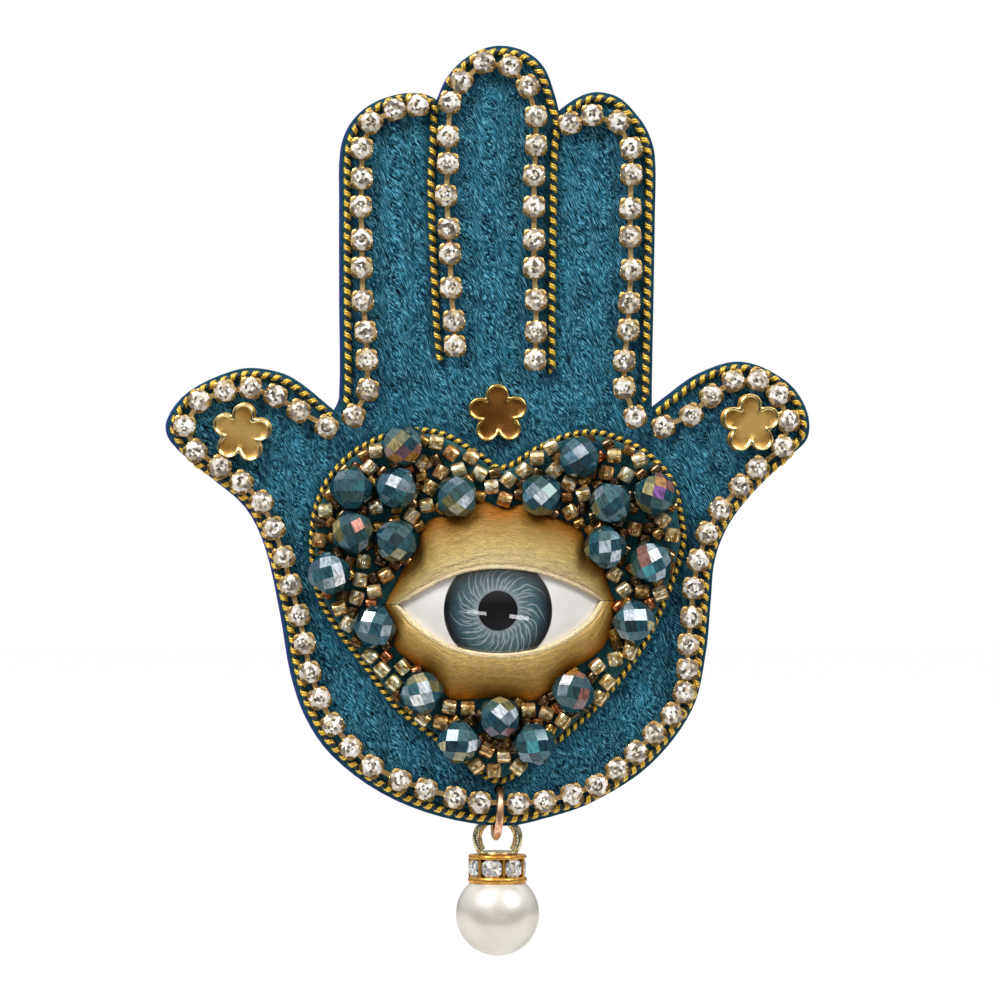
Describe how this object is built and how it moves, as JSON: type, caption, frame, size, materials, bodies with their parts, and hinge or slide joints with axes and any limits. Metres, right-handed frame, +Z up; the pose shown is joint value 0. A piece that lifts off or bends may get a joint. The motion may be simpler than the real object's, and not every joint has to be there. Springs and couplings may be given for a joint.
{
  "type": "beaded hamsa brooch",
  "caption": "Padded velvet hand with a bead-filled heart, a lidded glass eye, a cup-chain border and a pearl drop, worn on a bar pin.",
  "frame": {"origin": "middle of the brooch pin stem, on its axis, behind the hand", "axes": "+X to the viewer's right along the pin stem, +Z up towards the middle finger, front faces -Y"},
  "size_m": [0.0602, 0.0113, 0.0855],
  "materials": {
    "backing_felt": "blue-violet felt",
    "core_felt": "stiff non-woven core",
    "teal_velvet": "short-pile teal velvet",
    "dark_felt": "dark blue felt",
    "twist_cord": "two-strand gold and black metallic twist",
    "chain_metal": "pale gold plate",
    "chain_stone": "clear foiled chaton",
    "antique_gold": "antiqued gold cast metal with bright rims",
    "eye_porcelain": "glossy warm white",
    "iris_enamel": "painted blue-grey under glass",
    "pupil_enamel": "painted near-black under glass",
    "clear_glass": "clear polished dome",
    "gilded_leather": "gilded leather with fine wrinkles",
    "lined_glass": "silver-lined champagne glass",
    "teal_crystal": "dark teal cut glass with a coloured coat",
    "copper_wire": "polished rose gold wire",
    "pale_gold_wire": "pale gold plate",
    "polished_gold": "polished gold plate",
    "clear_crystal": "clear cut crystal",
    "pearl_nacre": "ivory pearl lustre",
    "pin_steel": "nickel-plated steel"
  },
  "bodies": {
    "hand": {"back_cover": "backing_felt", "core_pad": "core_felt", "velvet_face": "teal_velvet", "heart_base": "dark_felt", "index_cord": "twist_cord", "middle_cord": "twist_cord", "ring_cord": "twist_cord", "palm_cord": "twist_cord", "heart_cord": "twist_cord", "index_chain": "chain_metal", "middle_chain": "chain_metal", "ring_chain": "chain_metal", "palm_chain": "chain_metal", "index_stones": "chain_stone", "middle_stones": "chain_stone", "ring_stones": "chain_stone", "palm_stones": "chain_stone", "left_flower_bead": "antique_gold", "centre_flower_bead": "antique_gold", "right_flower_bead": "antique_gold", "eye_white": "eye_porcelain", "iris_disc": "iris_enamel", "pupil_disc": "pupil_enamel", "eye_glass": "clear_glass", "upper_eyelid": "gilded_leather", "lower_eyelid": "gilded_leather", "left_seed_beads": "lined_glass", "right_seed_beads": "lined_glass", "pin_bar": "pin_steel", "hinge_rivet": "pin_steel", "crystal_bead_1": "teal_crystal", "crystal_bead_2": "teal_crystal", "crystal_bead_3": "teal_crystal", "crystal_bead_4": "teal_crystal", "crystal_bead_5": "teal_crystal", "crystal_bead_6": "teal_crystal", "crystal_bead_7": "teal_crystal", "crystal_bead_8": "teal_crystal", "crystal_bead_9": "teal_crystal", "crystal_bead_10": "teal_crystal", "crystal_bead_11": "teal_crystal", "crystal_bead_12": "teal_crystal", "crystal_bead_13": "teal_crystal", "crystal_bead_14": "teal_crystal", "crystal_bead_15": "teal_crystal", "crystal_bead_16": "teal_crystal", "crystal_bead_17": "teal_crystal", "crystal_bead_18": "teal_crystal", "crystal_bead_19": "teal_crystal", "crystal_bead_20": "teal_crystal"},
    "ring": {"jump_ring": "copper_wire"},
    "drop": {"drop_loop": "pale_gold_wire", "rondelle_frame": "polished_gold", "rondelle_crystals": "clear_crystal", "pearl": "pearl_nacre"},
    "pin": {"pin_stem": "pin_steel"},
    "catch": {"safety_catch": "pin_steel"}
  },
  "joints": [
    {"name": "ring_sway", "type": "hinge", "parent": "hand", "child": "ring", "pos_m": [0.00023, -0.0036, -0.0326], "axis": [0, 1, 0], "range_deg": [-5, 5]},
    {"name": "drop_swing", "type": "hinge", "parent": "ring", "child": "drop", "pos_m": [0.00023, -0.0022, -0.0355], "axis": [1, 0, 0], "range_deg": [0, 60]},
    {"name": "pin_swing", "type": "hinge", "parent": "hand", "child": "pin", "pos_m": [-0.013, 0, 0], "axis": [0, 0, 1], "range_deg": [0, 60]},
    {"name": "catch_turn", "type": "hinge", "parent": "hand", "child": "catch", "pos_m": [0.0111, 0, 0], "axis": [1, 0, 0], "range_deg": [0, 100]}
  ]
}
